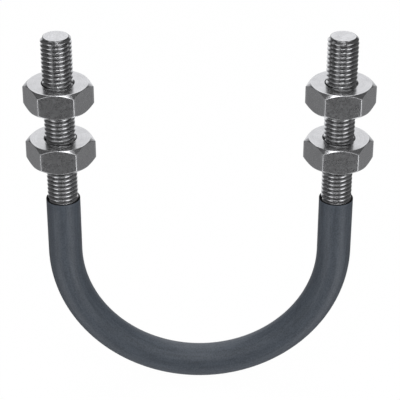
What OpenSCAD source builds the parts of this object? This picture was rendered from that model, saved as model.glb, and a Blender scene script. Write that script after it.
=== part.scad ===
// Pipe U-bolt with a plastic sleeve on its bend and four hexagon nuts.
// The origin is the centre of the bend, which is the axis of the pipe that it holds.
// +Y runs along that pipe, +Z up both legs to their threaded ends, and +X from the left leg to the right.

/* [Rod] */
// Distance between the centre lines of the two legs
leg_spacing = 108; // [100:1:120]
// Diameter of the rod, which is also the outside diameter of its M12 x 1.75 thread
rod_d = 12; // [11:0.1:12.6]
// Height of the legs' ends above the centre of the bend
leg_top = 93.1; // [82:0.1:110]
// Depth of the 45 degree bevel around each leg's end
end_bevel = 1.1; // [0.6:0.1:1.6]

/* [Sleeve] */
// Thickness of the sleeve's wall
sleeve_wall = 0.7; // [0.5:0.05:1.2]
// Gap between the rod and the sleeve, measured along a radius
sleeve_gap = 0.05; // [0.02:0.01:0.1]
// Height of the sleeve's two mouths above the centre of the bend
sleeve_top = 23.9; // [5:0.1:30]

/* [Nuts] */
// Distance between opposite flats
nut_across_flats = 23.7; // [23:0.1:24.2]
// Height of one nut
nut_height = 10.1; // [9:0.1:10.8]
// Diameter of the flat ring left on each end face by the bevel
nut_face_d = 23.4; // [22.6:0.1:23.6]
// Angle of the turned bevel on the corners, measured from the end face
nut_bevel_angle = 40; // [25:1:48]
// Gap between a nut's bore and the thread, measured along a radius
thread_gap = 0.05; // [0.02:0.01:0.1]
// Diameter of the countersink around each end of the bore
countersink_d = 13; // [12.8:0.1:14]

/* [Places of the nuts] */
// Height of the underside of both lower nuts
lower_nut_z = 40.35; // [32:0.05:42]
// Height of the underside of both upper nuts
upper_nut_z = 63.75; // [54:0.05:70]

/* [Hidden] */

$fn = 96;

leg_x = leg_spacing / 2;
sleeve_bore_d = rod_d + 2 * sleeve_gap;
sleeve_d = sleeve_bore_d + 2 * sleeve_wall;
nut_bore_r = rod_d / 2 + thread_gap;
nut_corner_r = nut_across_flats / 2 / cos(30);

// The depth of a countersink with an included angle of 120 degrees
countersink_depth = (countersink_d / 2 - nut_bore_r) / tan(60);

// How far a cutting shape passes the surface that it cuts
cut = 1;

// A round bar of diameter d: half a ring below the origin
module bend(d) {
    rotate([-90, 0, 0])
        rotate_extrude(angle = 180)
            translate([leg_x, 0])
                circle(d = d);
}

// Places its children on both legs
module on_both_legs() {
    for (side = [-1, 1])
        translate([side * leg_x, 0, 0])
            children();
}

// The bend and two straight legs of the same diameter, up to the height top
module u_bar(d, top) {
    bend(d);
    on_both_legs()
        cylinder(d = d, h = top);
}

// One leg, with its bevelled end
module leg() {
    rotate_extrude()
        polygon([
            [0, 0],
            [rod_d / 2, 0],
            [rod_d / 2, leg_top - end_bevel],
            [rod_d / 2 - end_bevel, leg_top],
            [0, leg_top]
        ]);
}

// The turned shape that the corners of a nut are bevelled to, on both end faces
module nut_envelope() {
    outer_r = nut_corner_r + cut;
    bevel_height = (outer_r - nut_face_d / 2) * tan(nut_bevel_angle);
    rotate_extrude()
        polygon([
            [0, 0],
            [nut_face_d / 2, 0],
            [outer_r, bevel_height],
            [outer_r, nut_height - bevel_height],
            [nut_face_d / 2, nut_height],
            [0, nut_height]
        ]);
}

// The bore of a nut, which opens into a countersink at each end
module nut_bore() {
    rotate_extrude()
        polygon([
            [0, -cut],
            [countersink_d / 2, -cut],
            [countersink_d / 2, 0],
            [nut_bore_r, countersink_depth],
            [nut_bore_r, nut_height - countersink_depth],
            [countersink_d / 2, nut_height],
            [countersink_d / 2, nut_height + cut],
            [0, nut_height + cut]
        ]);
}

// A hexagon nut with its underside at the origin and two flats square to Y
module hex_nut() {
    difference() {
        intersection() {
            cylinder(r = nut_corner_r, h = nut_height, $fn = 6);
            nut_envelope();
        }
        nut_bore();
    }
}

// The bent rod, threaded on both legs: its thread is drawn as the plain cylinder over the crests
module u_rod() {
    color("silver") {
        bend(rod_d);
        on_both_legs() leg();
    }
}

// The dark sleeve that covers the bend and the foot of each leg
module sleeve() {
    color("dimgray")
        difference() {
            u_bar(sleeve_d, sleeve_top);
            u_bar(sleeve_bore_d, sleeve_top + cut);
        }
}

module left_upper_nut() {
    color("lightsteelblue")
        translate([-leg_x, 0, upper_nut_z])
            hex_nut();
}

module left_lower_nut() {
    color("lightsteelblue")
        translate([-leg_x, 0, lower_nut_z])
            hex_nut();
}

module right_upper_nut() {
    color("lightsteelblue")
        translate([leg_x, 0, upper_nut_z])
            hex_nut();
}

module right_lower_nut() {
    color("lightsteelblue")
        translate([leg_x, 0, lower_nut_z])
            hex_nut();
}

u_rod();
sleeve();
left_upper_nut();
left_lower_nut();
right_upper_nut();
right_lower_nut();
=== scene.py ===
"""A pipe U-bolt: a bent rod with threaded legs, a plastic sleeve on its bend and four hexagon nuts."""
import math

import bmesh
import bpy
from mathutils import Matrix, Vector


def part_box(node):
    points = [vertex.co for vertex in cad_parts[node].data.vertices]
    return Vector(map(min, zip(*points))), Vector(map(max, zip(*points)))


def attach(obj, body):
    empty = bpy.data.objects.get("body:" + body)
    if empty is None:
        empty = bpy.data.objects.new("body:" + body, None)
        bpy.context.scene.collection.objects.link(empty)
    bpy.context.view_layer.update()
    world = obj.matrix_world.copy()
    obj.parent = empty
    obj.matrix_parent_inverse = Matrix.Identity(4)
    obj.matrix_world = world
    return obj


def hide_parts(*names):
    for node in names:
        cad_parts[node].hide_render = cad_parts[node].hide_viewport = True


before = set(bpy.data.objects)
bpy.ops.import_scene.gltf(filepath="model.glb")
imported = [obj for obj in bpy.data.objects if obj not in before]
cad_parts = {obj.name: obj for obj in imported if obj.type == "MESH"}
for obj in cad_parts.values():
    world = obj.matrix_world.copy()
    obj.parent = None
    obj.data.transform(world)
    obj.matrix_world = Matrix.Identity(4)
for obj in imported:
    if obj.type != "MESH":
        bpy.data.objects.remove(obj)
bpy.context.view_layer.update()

MM = 0.001
TURN = 2 * math.pi

# Sizes that the frame gives
ROD_LOW, ROD_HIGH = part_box("u_rod")
SLEEVE_LOW, SLEEVE_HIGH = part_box("sleeve")
NUT_LOW, NUT_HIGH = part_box("right_upper_nut")
ROD_R = (ROD_HIGH[1] - ROD_LOW[1]) / 2
LEG_X = (NUT_LOW[0] + NUT_HIGH[0]) / 2
LEG_TOP = ROD_HIGH[2]
SLEEVE_R = -SLEEVE_LOW[2] - LEG_X
SLEEVE_TOP = SLEEVE_HIGH[2]

# The M12 x 1.75 thread. Its crest passes +X of each leg at THREAD_PHASE above a whole number of pitches.
PITCH = 1.75 * MM
THREAD_PHASE = 1.30 * MM
THREAD_DEPTH = 0.6134 * PITCH
NUT_THREAD_DEPTH = 0.53 * PITCH
ROOT_R = ROD_R - THREAD_DEPTH
NUT_CREST_R = ROD_R - NUT_THREAD_DEPTH
NUT_GROOVE_R = ROD_R + 0.06 * MM
CREST_HALF = PITCH / 16
FLANK = math.tan(math.radians(30))
CREST_EASE = 0.06 * MM
ROOT_EASE = 0.22 * MM
NUT_ROOT_EASE = 0.05 * MM

# The rod, whose thread fades out under the sleeve, and whose ends have a bevel and an eased rim
ROD_SIDES = 72
THREAD_LOW = SLEEVE_TOP - 6 * MM
THREAD_FADE = 1.5 * PITCH
END_BEVEL = 1.1 * MM
END_R = ROD_R - END_BEVEL
ROD_EDGE = 0.12 * MM

# The sleeve
SLEEVE_SIDES = 64
BORE_R = ROD_R + 0.03 * MM
SLEEVE_EDGE = 0.14 * MM

# The nuts
HEX_SLOPE = math.tan(math.radians(30))
HEX_CORNER_R = 0.4 * MM
NUT_FACE_R = 11.7 * MM
NUT_BEVEL = math.tan(math.radians(40))
COUNTERSINK_R = 6.5 * MM
COUNTERSINK_SLOPE = math.tan(math.radians(30))
COUNTERSINK_EDGE = 0.1 * MM
COUNTERSINK_RISE = COUNTERSINK_EDGE * COUNTERSINK_SLOPE

# How much each edge of a nut is eased, from its upper countersink over the outside to its lower one
NUT_EASES = (0.08 * MM, 0.35 * MM, 0.45 * MM, 0.45 * MM, 0.30 * MM, 0.08 * MM)

# The places of each piece's materials in its list
ROD_SIDE, ROD_END = range(2)
# The sleeve's cut mouths and bore take a near-black painted shade.
SLEEVE_OUTSIDE, SLEEVE_CUT_SHADE = range(2)
NUT_FLAT, NUT_TURNED, NUT_BORE = range(3)


# ---------------------------------------------------------------- mesh tools

# A corner counts as straight when half its angle is this close to a right angle, in radians
STRAIGHT = 1e-4

# The most that an ease may take of the length of a line beside it
LONGEST_EASE = 0.45


def rounded_path(corners, radii, steps):
    """The open line through corners, with each inner corner eased by its radius, in so many steps."""
    path = [corners[0]]
    for before, corner, after, radius in zip(corners, corners[1:], corners[2:], radii):
        back = before - corner
        ahead = after - corner
        half_angle = back.angle(ahead, math.pi) / 2
        is_straight = half_angle > math.pi / 2 - STRAIGHT
        reach = 0 if is_straight else radius / math.tan(half_angle)
        reach = min(reach, LONGEST_EASE * back.length, LONGEST_EASE * ahead.length)
        start = corner + back.normalized() * reach
        end = corner + ahead.normalized() * reach
        for step in range(steps + 1):
            t = step / steps
            path.append((1 - t) ** 2 * start + 2 * t * (1 - t) * corner + t ** 2 * end)
    path.append(corners[-1])
    return path


def add_face(bm, corners, material):
    """One smooth face through the corners, less any that repeat, or none if fewer than three are left."""
    corners = list(dict.fromkeys(corners))
    if len(corners) < 3:
        return None
    face = bm.faces.new(corners)
    face.material_index = material
    face.smooth = True
    return face


def turned_on(ring):
    """The ring's points, starting from its second."""
    return ring[1:] + ring[:1]


def bridge(bm, ring_a, ring_b, material):
    """A band of faces between two closed rings with the same number of points."""
    return [
        add_face(bm, (a, next_a, next_b, b), material)
        for a, next_a, b, next_b in zip(ring_a, turned_on(ring_a), ring_b, turned_on(ring_b))
    ]


def flat_ring(bm, centre_x, angles, radius, z):
    """A level ring of points round a vertical axis."""
    return [
        bm.verts.new((centre_x + radius * math.cos(a), radius * math.sin(a), z))
        for a in angles
    ]


def finish_piece(bm, name, materials, body, nodes):
    """Turns the mesh into a piece that rides on a body in place of CAD nodes."""
    bmesh.ops.recalc_face_normals(bm, faces=bm.faces)
    mesh = bpy.data.meshes.new(name)
    bm.to_mesh(mesh)
    bm.free()
    for material in materials:
        mesh.materials.append(material)
    piece = bpy.data.objects.new(name, mesh)
    bpy.context.scene.collection.objects.link(piece)
    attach(piece, body)
    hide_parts(*nodes)
    return piece


# ---------------------------------------------------------------- thread

def thread_profile(crest_r, root_r, root_ease):
    """One pitch of a thread as (height, radius) points, from a crest's middle to just before the next.

    A nut's thread has the same shape, with its groove as the crest and its own crest as the root.
    """
    root_start = CREST_HALF + (crest_r - root_r) * FLANK
    corners = [
        Vector((0, crest_r)),
        Vector((CREST_HALF, crest_r)),
        Vector((root_start, root_r)),
        Vector((PITCH - root_start, root_r)),
        Vector((PITCH - CREST_HALF, crest_r)),
        Vector((PITCH, crest_r)),
    ]
    return rounded_path(corners, (CREST_EASE, root_ease, root_ease, CREST_EASE), steps=2)[:-1]


def helical_wall(bm, centre_x, angles, profile, low, high, limit, material):
    """A right-hand thread's surface between two heights, with its radius trimmed by limit(radius, z).

    Each angle has a column of points. Points that would pass an end repeat the point at that end, and
    add_face leaves them out. The last column joins the first one a turn further on. Returns the wall's
    lowest and highest rings, which are level.
    """
    per_turn = len(profile)
    first_turn = math.floor(low / PITCH) - 2
    turns = math.ceil(high / PITCH) + 1 - first_turn
    columns = []
    for angle in angles:
        column = []
        for turn in range(turns):
            for height, radius in profile:
                z = (first_turn + turn + angle / TURN) * PITCH + THREAD_PHASE + height
                is_past_end = column and (z <= low or (z >= high and column[-1].co.z >= high))
                if is_past_end:
                    column.append(column[-1])
                    continue
                z = min(max(z, low), high)
                r = limit(radius, z)
                column.append(bm.verts.new((centre_x + r * math.cos(angle), r * math.sin(angle), z)))
        columns.append(column)
    rows = turns * per_turn
    for here, there in zip(columns, columns[1:]):
        for row in range(rows - 1):
            add_face(bm, (here[row], there[row], there[row + 1], here[row + 1]), material)
    first = columns[0]
    last = columns[-1]
    for row in range(-per_turn, rows - 1):
        corners = (
            last[max(row, 0)],
            first[min(max(row + per_turn, 0), rows - 1)],
            first[min(row + 1 + per_turn, rows - 1)],
            last[max(row + 1, 0)],
        )
        add_face(bm, corners, material)
    return [column[0] for column in columns], [column[-1] for column in columns]


def even_angles(count):
    """Angles evenly spaced round a whole turn, from 0."""
    return [TURN * k / count for k in range(count)]


# ---------------------------------------------------------------- rod and sleeve

def u_path(top, straight_steps, bend_steps):
    """(centre, inward) stations down the left leg from a height, round the bend and up the right leg."""
    stations = []
    for step in range(straight_steps):
        stations.append((Vector((-LEG_X, 0, top * (1 - step / straight_steps))), Vector((1, 0, 0))))
    for step in range(bend_steps + 1):
        turn = math.pi * step / bend_steps
        inward = Vector((math.cos(turn), 0, math.sin(turn)))
        stations.append((-LEG_X * inward, inward))
    for step in range(1, straight_steps + 1):
        stations.append((Vector((LEG_X, 0, top * step / straight_steps)), Vector((-1, 0, 0))))
    return stations


def swept_ring(bm, station, angles, radius):
    """A ring of points square to the path at one of its stations."""
    centre, inward = station
    across = Vector((0, 1, 0))
    return [
        bm.verts.new(centre + radius * (math.cos(a) * inward + math.sin(a) * across))
        for a in angles
    ]


def leg_limit(radius, z):
    """The thread fades out at the foot of the leg and is bevelled at its end."""
    fade = min(max((z - THREAD_LOW) / THREAD_FADE, 0), 1)
    radius = ROD_R - (ROD_R - radius) * fade
    return min(radius, END_R + LEG_TOP - z)


def close_end(bm, centre_x, angles, ring):
    """The eased rim and the flat face that close a leg's end."""
    rim = (
        (END_R + 0.4 * ROD_EDGE, 0.4 * ROD_EDGE),
        (END_R - 0.3 * ROD_EDGE, 0.08 * ROD_EDGE),
        (END_R - 1.2 * ROD_EDGE, 0),
    )
    for radius, drop in rim:
        inner = flat_ring(bm, centre_x, angles, radius, LEG_TOP - drop)
        bridge(bm, ring, inner, ROD_SIDE)
        ring = inner
    for radius in (0.6 * END_R, 0.25 * END_R):
        inner = flat_ring(bm, centre_x, angles, radius, LEG_TOP)
        bridge(bm, ring, inner, ROD_END)
        ring = inner
    centre = bm.verts.new((centre_x, 0, LEG_TOP))
    for point, following in zip(ring, turned_on(ring)):
        add_face(bm, (point, following, centre), ROD_END)


def make_rod(materials):
    """The bent rod, with a rolled thread on both legs and sheared, bevelled ends."""
    bm = bmesh.new()
    angles = even_angles(ROD_SIDES)
    profile = thread_profile(ROD_R, ROOT_R, ROOT_EASE)
    feet = []
    for x in (-LEG_X, LEG_X):
        foot, top = helical_wall(
            bm, x, angles, profile, THREAD_LOW, LEG_TOP - ROD_EDGE, leg_limit, ROD_SIDE
        )
        close_end(bm, x, angles, top)
        feet.append(foot)
    left, right = feet
    rings = [left]
    for station in u_path(THREAD_LOW, straight_steps=4, bend_steps=64)[1:-1]:
        rings.append(swept_ring(bm, station, angles, ROD_R))
    # The right leg's ring starts on its outer side and runs the other way round, so it is reordered
    rings.append([right[(ROD_SIDES // 2 - k) % ROD_SIDES] for k in range(ROD_SIDES)])
    for ring_a, ring_b in zip(rings, rings[1:]):
        bridge(bm, ring_a, ring_b, ROD_SIDE)
    return finish_piece(bm, "threaded_rod", materials, "u_bolt", ["u_rod"])


def sleeve_mouth(bm, station, angles):
    """The rings over the lip of an upward mouth, from the outside to the bore."""
    centre, inward = station
    near = 0.3 * SLEEVE_EDGE
    far = 0.7 * SLEEVE_EDGE
    lips = (
        (SLEEVE_R - near, far),
        (SLEEVE_R - SLEEVE_EDGE, SLEEVE_EDGE),
        (BORE_R + SLEEVE_EDGE, SLEEVE_EDGE),
        (BORE_R + near, far),
    )
    return [
        swept_ring(bm, (centre + Vector((0, 0, rise)), inward), angles, radius)
        for radius, rise in lips
    ]


def make_sleeve(materials):
    """The tube over the bend, with cut mouths whose edges are a little rounded.

    Its "along" layer holds the share of the way round and the distance along the tube, for its streaks.
    """
    bm = bmesh.new()
    angles = even_angles(SLEEVE_SIDES)
    path = u_path(SLEEVE_TOP - SLEEVE_EDGE, straight_steps=6, bend_steps=80)
    layer = bm.loops.layers.uv.new("along")

    def add_band(ring_a, ring_b, at_a, at_b, material):
        for k, face in enumerate(bridge(bm, ring_a, ring_b, material)):
            start = k / SLEEVE_SIDES
            end = (k + 1) / SLEEVE_SIDES
            places = ((start, at_a), (end, at_a), (end, at_b), (start, at_b))
            for loop, place in zip(face.loops, places):
                loop[layer].uv = place

    outer = [swept_ring(bm, station, angles, SLEEVE_R) for station in path]
    inner = [swept_ring(bm, station, angles, BORE_R) for station in path]
    along = 0
    for k in range(len(path) - 1):
        length = (path[k + 1][0] - path[k][0]).length
        add_band(outer[k], outer[k + 1], along, along + length, SLEEVE_OUTSIDE)
        add_band(inner[k], inner[k + 1], along, along + length, SLEEVE_CUT_SHADE)
        along += length
    right_lip = [outer[-1], *sleeve_mouth(bm, path[-1], angles), inner[-1]]
    left_lip = [outer[0], *sleeve_mouth(bm, path[0], angles), inner[0]]
    # The mouths' lips and the bore get the near-black painted shade.
    for rings in (right_lip, left_lip[::-1]):
        for ring_a, ring_b in zip(rings, rings[1:]):
            add_band(ring_a, ring_b, 0, SLEEVE_EDGE, SLEEVE_CUT_SHADE)
    return finish_piece(bm, "bend_sleeve", materials, "u_bolt", ["sleeve"])


# ---------------------------------------------------------------- nuts

def angle_of(point):
    """A point's angle round the origin, from 0 to a whole turn."""
    return math.atan2(point.y, point.x) % TURN


def hexagon_outline(across_flats, flat_steps, corner_steps):
    """Points round a hexagon, by angle, with two flats square to Y and slightly rounded corners."""
    half = across_flats / 2
    flat_half = (half - HEX_CORNER_R) * HEX_SLOPE
    centre_distance = (half - HEX_CORNER_R) / math.cos(TURN / 12)
    points = []
    for side in range(6):
        facing = TURN * (side + 0.5) / 6
        normal = Vector((math.cos(facing), math.sin(facing)))
        along = Vector((-normal.y, normal.x))
        for step in range(flat_steps + 1):
            points.append(half * normal + along * flat_half * (2 * step / flat_steps - 1))
        corner = TURN * (side + 1) / 6
        centre = centre_distance * Vector((math.cos(corner), math.sin(corner)))
        for step in range(1, corner_steps):
            turn = facing + TURN / 6 * step / corner_steps
            points.append(centre + HEX_CORNER_R * Vector((math.cos(turn), math.sin(turn))))
    return sorted(points, key=angle_of)


def nut_section(wall_r, bottom, top):
    """The nut's outside at one angle: (radius, height) points from the upper countersink to the lower."""
    drop = (wall_r - NUT_FACE_R) * NUT_BEVEL
    mouth_r = COUNTERSINK_R - COUNTERSINK_EDGE
    corners = [
        Vector((mouth_r, top - COUNTERSINK_RISE)),
        Vector((COUNTERSINK_R, top)),
        Vector((NUT_FACE_R, top)),
        Vector((wall_r, top - drop)),
        Vector((wall_r, bottom + drop)),
        Vector((NUT_FACE_R, bottom)),
        Vector((COUNTERSINK_R, bottom)),
        Vector((mouth_r, bottom + COUNTERSINK_RISE)),
    ]
    return rounded_path(corners, NUT_EASES, steps=3)


def make_nut(node, materials):
    """A hexagon nut, bevelled on both end faces, with a countersunk thread in step with its leg's."""
    low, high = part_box(node)
    centre_x = (low[0] + high[0]) / 2
    bottom = low[2]
    top = high[2]
    bm = bmesh.new()
    outline = hexagon_outline(high[1] - low[1], flat_steps=10, corner_steps=4)
    angles = [angle_of(point) for point in outline]

    def bore_limit(radius, z):
        depth = min(top - z, z - bottom)
        return max(radius, COUNTERSINK_R - depth / COUNTERSINK_SLOPE)

    profile = thread_profile(NUT_GROOVE_R, NUT_CREST_R, NUT_ROOT_EASE)
    low_end = bottom + COUNTERSINK_RISE
    high_end = top - COUNTERSINK_RISE
    low_ring, high_ring = helical_wall(
        bm, centre_x, angles, profile, low_end, high_end, bore_limit, NUT_BORE
    )
    shell = []
    for point in outline:
        direction = point.normalized()
        shell.append([
            (centre_x + direction.x * radius, direction.y * radius, z)
            for radius, z in nut_section(point.length, bottom, top)
        ])
    rows = len(shell[0])
    rings = [high_ring]
    for row in range(1, rows - 1):
        rings.append([bm.verts.new(column[row]) for column in shell])
    rings.append(low_ring)
    # The middle band is the flats, the first and last are the countersinks' edges, and the rest is turned
    surfaces = {rows // 2 - 1: NUT_FLAT, 0: NUT_BORE, rows - 2: NUT_BORE}
    for row, (ring_a, ring_b) in enumerate(zip(rings, rings[1:])):
        bridge(bm, ring_a, ring_b, surfaces.get(row, NUT_TURNED))
    piece = finish_piece(bm, "hex_" + node, materials, node, [node])
    weighted = piece.modifiers.new("even_flats", "WEIGHTED_NORMAL")
    weighted.weight = 80
    return piece


# ---------------------------------------------------------------- materials

def new_material(name, metallic=0):
    """An empty node material: (material, its node tree, its Principled shader)."""
    material = bpy.data.materials.new(name)
    material.use_nodes = True
    tree = material.node_tree
    shader = tree.nodes["Principled BSDF"]
    shader.inputs["Metallic"].default_value = metallic
    return material, tree, shader


def add_node(tree, kind, inputs=None, **settings):
    """A node with its settings, and its inputs set to values or linked to sockets."""
    node = tree.nodes.new(kind)
    for key, value in settings.items():
        setattr(node, key, value)
    for key, value in (inputs or {}).items():
        if isinstance(value, bpy.types.NodeSocket):
            tree.links.new(value, node.inputs[key])
        else:
            node.inputs[key].default_value = value
    return node


def math_node(tree, operation, a, b=0.0):
    """The result of a sum of one or two values or sockets, as a socket."""
    return add_node(tree, "ShaderNodeMath", {0: a, 1: b}, operation=operation).outputs[0]


def ramp(tree, factor, *stops):
    """A colour ramp through (place, grey or colour) stops."""
    node = add_node(tree, "ShaderNodeValToRGB", {"Fac": factor})
    elements = node.color_ramp.elements
    while len(elements) < len(stops):
        elements.new(0.5)
    for element, (place, colour) in zip(elements, stops):
        red, green, blue = colour if isinstance(colour, tuple) else (colour, colour, colour)
        element.position = place
        element.color = (red, green, blue, 1)
    return node.outputs["Color"]


def spread(tree, pattern, low, high):
    """A noise pattern stretched from low to high over the range that most of it falls in."""
    return ramp(tree, pattern, (0.3, low), (0.7, high))


def object_place(tree):
    """The place in the piece's own metres, which are the frame's, as a socket."""
    return add_node(tree, "ShaderNodeTexCoord").outputs["Object"]


def leg_radius(tree):
    """Distance from the nearer leg's axis, in metres, as a socket."""
    split = add_node(tree, "ShaderNodeSeparateXYZ", {0: object_place(tree)})
    x = math_node(tree, "SUBTRACT", math_node(tree, "ABSOLUTE", split.outputs["X"]), LEG_X)
    y = split.outputs["Y"]
    squares = math_node(
        tree, "ADD",
        math_node(tree, "MULTIPLY", x, x),
        math_node(tree, "MULTIPLY", y, y),
    )
    return math_node(tree, "SQRT", squares)


def noise(tree, scale, detail=3.0, roughness=0.5, vector=None):
    """Cloudy noise with about so many features a metre."""
    inputs = {
        "Vector": object_place(tree) if vector is None else vector,
        "Scale": scale,
        "Detail": detail,
        "Roughness": roughness,
    }
    return add_node(tree, "ShaderNodeTexNoise", inputs).outputs["Fac"]


def blend_of(tree, coarse, fine, share=0.5):
    """Two patterns mixed, with the given share of the coarse one."""
    return math_node(
        tree, "ADD",
        math_node(tree, "MULTIPLY", coarse, share),
        math_node(tree, "MULTIPLY", fine, 1 - share),
    )


def climb(tree, value, start, full):
    """0 up to start, rising evenly to 1 at full."""
    span = {"Value": value, "From Min": start, "From Max": full, "To Min": 0.0, "To Max": 1.0}
    return add_node(tree, "ShaderNodeMapRange", span).outputs["Result"]


def grey_with_painted_highlight(tree, pattern, low, high, highlight_mask, gain):
    """A grey between low and high that follows a pattern, with a painted highlight of up to gain added
    where a mask is set.
    """
    grey = spread(tree, pattern, low, high)
    return math_node(tree, "ADD", grey, math_node(tree, "MULTIPLY", highlight_mask, gain))


def set_look(tree, shader, colour, roughness):
    """Links a colour and a roughness to the shader."""
    tree.links.new(colour, shader.inputs["Base Color"])
    tree.links.new(roughness, shader.inputs["Roughness"])


def set_bump(tree, shader, height, distance, strength):
    """Links a height pattern to the shader as bumps of up to a distance in metres."""
    bump = add_node(
        tree, "ShaderNodeBump", {"Height": height, "Distance": distance, "Strength": strength}
    )
    tree.links.new(bump.outputs["Normal"], shader.inputs["Normal"])


def thread_steel():
    """Bright rolled thread, with a painted highlight on its crests and painted shade in its roots."""
    material, tree, shader = new_material("thread_steel", metallic=1)
    depth = climb(tree, leg_radius(tree), ROOT_R, ROD_R)
    # Painted shade and painted highlight: the colour runs from dark at the root radius to bright at the
    # crest radius.
    colour = ramp(tree, depth, (0.0, 0.28), (0.4, 0.57), (1.0, 0.66))
    set_look(tree, shader, colour, spread(tree, noise(tree, 900), 0.10, 0.18))
    set_bump(tree, shader, noise(tree, 1500), 0.06 * MM, 0.6)
    return material


def end_steel():
    """The sheared end faces of the rod, with a painted highlight near their rims."""
    material, tree, shader = new_material("sheared_end_steel", metallic=1)
    # Painted highlight: the colour brightens towards the end face's rim.
    rim = climb(tree, leg_radius(tree), END_R - 0.8 * MM, END_R)
    blotches = blend_of(tree, noise(tree, 350), noise(tree, 1600))
    colour = grey_with_painted_highlight(tree, blotches, 0.52, 0.72, rim, 0.08)
    set_look(tree, shader, colour, spread(tree, noise(tree, 700), 0.25, 0.38))
    set_bump(tree, shader, noise(tree, 1400), 0.03 * MM, 0.6)
    return material


def flat_steel():
    """The pressed flats of a nut: a fine mottle, with a painted highlight along the hexagon's corners."""
    material, tree, shader = new_material("nut_flat_steel", metallic=1)
    corner_r = NUT_HIGH[0] - LEG_X
    # Painted highlight: the colour brightens towards the hexagon's corners.
    corners = climb(tree, leg_radius(tree), corner_r - 0.7 * MM, corner_r - 0.2 * MM)
    mottle = blend_of(tree, noise(tree, 500, 5), noise(tree, 1900))
    colour = grey_with_painted_highlight(tree, mottle, 0.48, 0.60, corners, 0.15)
    set_look(tree, shader, colour, spread(tree, noise(tree, 1300, 4), 0.24, 0.34))
    set_bump(tree, shader, noise(tree, 1700), 0.02 * MM, 0.35)
    return material


def turned_steel():
    """The turned end faces and bevels of a nut: marks round its axis, with a painted highlight towards the
    rim.
    """
    material, tree, shader = new_material("nut_turned_steel", metallic=1)
    radius = leg_radius(tree)
    marks = add_node(
        tree, "ShaderNodeTexNoise", {"W": radius, "Scale": 4000.0, "Detail": 2.0}, noise_dimensions="1D"
    ).outputs["Fac"]
    # Painted highlight: the colour brightens towards the face's rim.
    rim = climb(tree, radius, NUT_FACE_R - 0.6 * MM, NUT_FACE_R)
    smudges = blend_of(tree, noise(tree, 260), marks)
    colour = grey_with_painted_highlight(tree, smudges, 0.52, 0.68, rim, 0.05)
    set_look(tree, shader, colour, spread(tree, noise(tree, 400), 0.18, 0.25))
    set_bump(tree, shader, marks, 0.01 * MM, 0.7)
    return material


def bore_steel():
    """The bore of a nut and its countersinks, in painted shade."""
    material, tree, shader = new_material("nut_bore_steel", metallic=1)
    grain = noise(tree, 900, 4)
    # Painted shade: the bore and countersinks are coloured very dark.
    colour = spread(tree, grain, 0.05, 0.12)
    set_look(tree, shader, colour, spread(tree, noise(tree, 1300, 4), 0.35, 0.5))
    set_bump(tree, shader, grain, 0.02 * MM, 0.4)
    return material


def sleeve_plastic():
    """Slate-grey plastic tube with a fine grain, faint drawn streaks and scuffs near its mouths."""
    material, tree, shader = new_material("sleeve_plastic")
    along = add_node(tree, "ShaderNodeUVMap", uv_map="along").outputs["UV"]
    stretched = add_node(tree, "ShaderNodeMapping", {"Vector": along, "Scale": (40.0, 60.0, 1.0)})
    streaks = noise(tree, 1.0, 3.0, 0.6, stretched.outputs["Vector"])
    grain = noise(tree, 2000)
    pattern = blend_of(tree, streaks, grain, 0.4)
    height = add_node(tree, "ShaderNodeSeparateXYZ", {0: object_place(tree)}).outputs["Z"]
    mouths = climb(tree, height, SLEEVE_TOP - 1.5 * MM, SLEEVE_TOP)
    scuffs = math_node(tree, "MULTIPLY", mouths, grain)
    shade = math_node(tree, "ADD", pattern, math_node(tree, "MULTIPLY", scuffs, 0.3))
    colour = ramp(tree, shade, (0.40, (0.055, 0.065, 0.078)), (0.60, (0.089, 0.106, 0.127)))
    set_look(tree, shader, colour, spread(tree, noise(tree, 300, 4), 0.46, 0.54))
    set_bump(tree, shader, pattern, 0.04 * MM, 0.4)
    return material


def sleeve_cut_painted_shade():
    """The cut mouths and bore of the sleeve, painted near-black as the shade of the gap round the thread.
    """
    material, tree, shader = new_material("sleeve_cut_painted_shade")
    shader.inputs["Specular IOR Level"].default_value = 0.1
    grain = noise(tree, 1500)
    # Painted shade: near-black in place of the shadow in the gap between the sleeve and the thread.
    set_look(tree, shader, spread(tree, grain, 0.004, 0.010), spread(tree, grain, 0.7, 0.9))
    set_bump(tree, shader, grain, 0.03 * MM, 0.4)
    return material


# ---------------------------------------------------------------- stage

FLOOR_HALF = 30.0
FLOOR_GLOW = 0.984


def make_floor():
    """A plain pale floor that the bend touches. It glows evenly, and only the camera sees it."""
    bm = bmesh.new()
    corners = [
        bm.verts.new((FLOOR_HALF * x, FLOOR_HALF * y, SLEEVE_LOW[2]))
        for x, y in ((-1, -1), (1, -1), (1, 1), (-1, 1))
    ]
    bm.faces.new(corners)
    mesh = bpy.data.meshes.new("floor")
    bm.to_mesh(mesh)
    bm.free()
    floor = bpy.data.objects.new("floor", mesh)
    bpy.context.scene.collection.objects.link(floor)
    material, _, shader = new_material("pale_floor")
    shader.inputs["Base Color"].default_value = (0.02, 0.02, 0.02, 1)
    shader.inputs["Roughness"].default_value = 1.0
    shader.inputs["Specular IOR Level"].default_value = 0.0
    shader.inputs["Emission Color"].default_value = (1, 1, 1, 1)
    shader.inputs["Emission Strength"].default_value = FLOOR_GLOW
    mesh.materials.append(material)
    floor.visible_diffuse = False
    floor.visible_glossy = False
    floor.visible_transmission = False
    floor.visible_shadow = False


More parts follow.
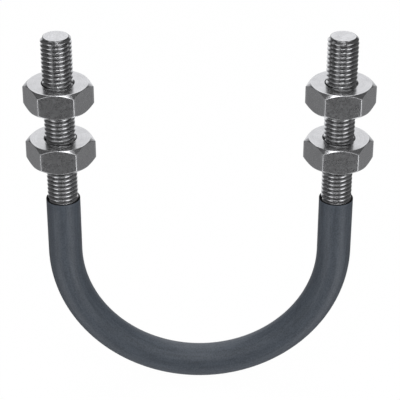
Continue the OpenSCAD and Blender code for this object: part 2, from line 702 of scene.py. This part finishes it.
# The studio's bright panels, on a sphere round the object: name, azimuth from and to, elevation from and
# to, brightness. Angles are in degrees, and azimuth is 0 on the camera's side and grows towards +X. A limit
# that lies past -180 or -90 leaves that side of the panel open.
PANELS = (
    ("wall_behind_low", 145, 215, -62, 0, 0.5),
    ("wall_behind", 150, 210, -2, 45, 0.95),
    ("wall_behind_high", 128, 232, 45, 92, 2.1),
    ("floor_below", -200, 170, -100, -64, 0.4),
    ("floor_in_front", -36, 36, -64, -42, 0.4),
    ("window_in_front", -78, 78, 22, 42, 1.4),
    ("low_panel_right", 36, 84, -60, -38, 1.8),
    ("low_panel_left", -84, -36, -60, -38, 1.8),
    ("card_right", 28, 58, -40, -10, 2.6),
    ("card_left", -60, -32, -40, -10, 1.6),
    ("table_right", 84, 146, -50, 0, 0.19),
    ("table_left", -146, -84, -50, 0, 0.19),
)
PANEL_BLUR = 8
SURROUNDINGS = 0.10
STUDIO_TINT = (0.965, 0.97, 1.0)

# A level softbox over the camera's side of the object, in metres, as bright as a panel of its brightness
SOFTBOX_CENTRE = (0, -0.295, 0.40)
SOFTBOX_WIDTH = 0.18
SOFTBOX_DEPTH = 0.45
SOFTBOX_BRIGHTNESS = 2.9


def make_softbox():
    """A flat rectangular light that hangs level and faces down."""
    light = bpy.data.lights.new("front_softbox", "AREA")
    light.shape = "RECTANGLE"
    light.size = SOFTBOX_WIDTH
    light.size_y = SOFTBOX_DEPTH
    light.energy = SOFTBOX_BRIGHTNESS * math.pi * SOFTBOX_WIDTH * SOFTBOX_DEPTH
    light.color = STUDIO_TINT
    lamp = bpy.data.objects.new("front_softbox", light)
    lamp.location = SOFTBOX_CENTRE
    bpy.context.scene.collection.objects.link(lamp)


def soft_window(tree, angle, low, high):
    """1 where an angle lies between low and high, falling smoothly to 0 across blurred edges."""
    edges = []
    for middle, before, after in ((low, 0.0, 1.0), (high, 1.0, 0.0)):
        span = {
            "Value": angle,
            "From Min": math.radians(middle - PANEL_BLUR),
            "From Max": math.radians(middle + PANEL_BLUR),
            "To Min": before,
            "To Max": after,
        }
        edge = add_node(tree, "ShaderNodeMapRange", span, interpolation_type="SMOOTHSTEP")
        edges.append(edge.outputs["Result"])
    return math_node(tree, "MULTIPLY", *edges)


def make_world():
    """Dim surroundings with the studio's soft bright panels."""
    world = bpy.data.worlds.new("studio")
    bpy.context.scene.world = world
    world.use_nodes = True
    tree = world.node_tree
    direction = add_node(tree, "ShaderNodeTexCoord").outputs["Generated"]
    x, y, z = add_node(tree, "ShaderNodeSeparateXYZ", {0: direction}).outputs
    elevation = math_node(tree, "ARCSINE", z)
    # The same azimuth twice: one from -180 to 180, and one from 0 to 360 for the panels behind the object
    towards_camera = math_node(tree, "MULTIPLY", y, -1.0)
    signed_azimuth = math_node(tree, "ARCTAN2", x, towards_camera)
    towards_left = math_node(tree, "MULTIPLY", x, -1.0)
    full_azimuth = math_node(tree, "ADD", math_node(tree, "ARCTAN2", towards_left, y), math.pi)
    brightness = SURROUNDINGS
    for name, left, right, low, high, level in PANELS:
        azimuth = full_azimuth if right > 180 else signed_azimuth
        across = soft_window(tree, azimuth, left, right)
        upright = soft_window(tree, elevation, low, high)
        inside = math_node(tree, "MULTIPLY", across, upright)
        terms = {0: inside, 1: level, 2: brightness}
        panel = add_node(tree, "ShaderNodeMath", terms, operation="MULTIPLY_ADD", label=name)
        brightness = panel.outputs[0]
    background = tree.nodes["Background"]
    background.inputs["Color"].default_value = (*STUDIO_TINT, 1)
    tree.links.new(brightness, background.inputs["Strength"])


# The view, fitted to the photo's outlines. The distance and the lift, which is along the camera's own up
# direction, are in metres.
CAMERA_ELEVATION = math.radians(29.33)
CAMERA_DISTANCE = 0.6439
CAMERA_LIFT = 0.01969
CAMERA_LENS = 143.7
CAMERA_SHIFT = 0.001


def make_camera():
    """Looks along +Y and down, with the bend's centre a little below the middle of the picture."""
    data = bpy.data.cameras.new("camera")
    data.lens = CAMERA_LENS
    data.shift_x = CAMERA_SHIFT
    data.clip_start = 10 * MM
    camera = bpy.data.objects.new("camera", data)
    forward = Vector((0, math.cos(CAMERA_ELEVATION), -math.sin(CAMERA_ELEVATION)))
    up = Vector((0, math.sin(CAMERA_ELEVATION), math.cos(CAMERA_ELEVATION)))
    camera.location = up * CAMERA_LIFT - forward * CAMERA_DISTANCE
    camera.rotation_euler = (math.pi / 2 - CAMERA_ELEVATION, 0, 0)
    bpy.context.scene.collection.objects.link(camera)
    bpy.context.scene.camera = camera


def main():
    bpy.context.scene.view_settings.view_transform = "Standard"
    make_camera()
    make_world()
    make_softbox()
    make_floor()
    make_rod([thread_steel(), end_steel()])
    make_sleeve([sleeve_plastic(), sleeve_cut_painted_shade()])
    nut_materials = [flat_steel(), turned_steel(), bore_steel()]
    for side in ("left", "right"):
        for level in ("upper", "lower"):
            make_nut(f"{side}_{level}_nut", nut_materials)


main()
